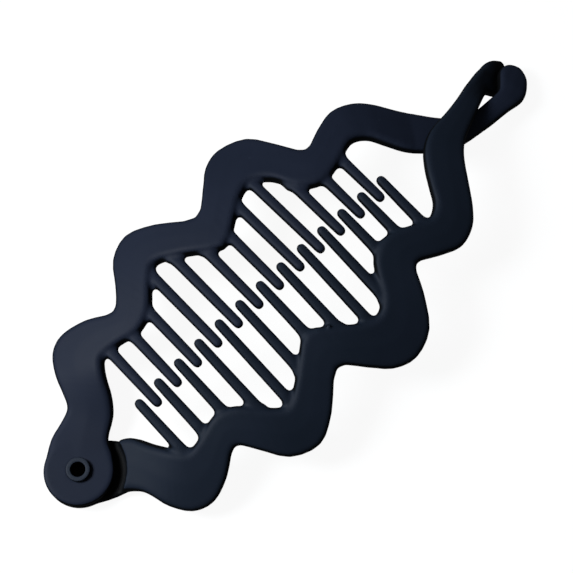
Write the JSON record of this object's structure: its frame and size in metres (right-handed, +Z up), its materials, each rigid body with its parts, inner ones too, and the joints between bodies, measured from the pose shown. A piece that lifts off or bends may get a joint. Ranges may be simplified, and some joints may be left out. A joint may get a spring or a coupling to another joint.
{
  "type": "banana hair clip",
  "caption": "Long curved hair clip with two wavy toothed halves hinged on a hollow pin and closed by crossing arms with a knob and a hook.",
  "frame": {"origin": "on the hinge axis, at the underside of the lower lug, which rests on the table", "axes": "+X from the hinge to the closing end, +Z up along the hinge axis, +Y towards the upper half"},
  "size_m": [0.1521, 0.0674, 0.0193],
  "materials": {
    "upper_shell": "soft-touch matte",
    "lower_shell": "soft-touch matte",
    "pin": "satin"
  },
  "bodies": {
    "lower_half": {"lower_comb": "lower_shell", "hinge_pin": "pin"},
    "upper_half": {"upper_comb": "upper_shell"}
  },
  "joints": [
    {"name": "hinge", "type": "hinge", "parent": "lower_half", "child": "upper_half", "pos_m": [0, 0, 0.0038], "axis": [0, 0, 1], "range_deg": [0, 70]}
  ]
}
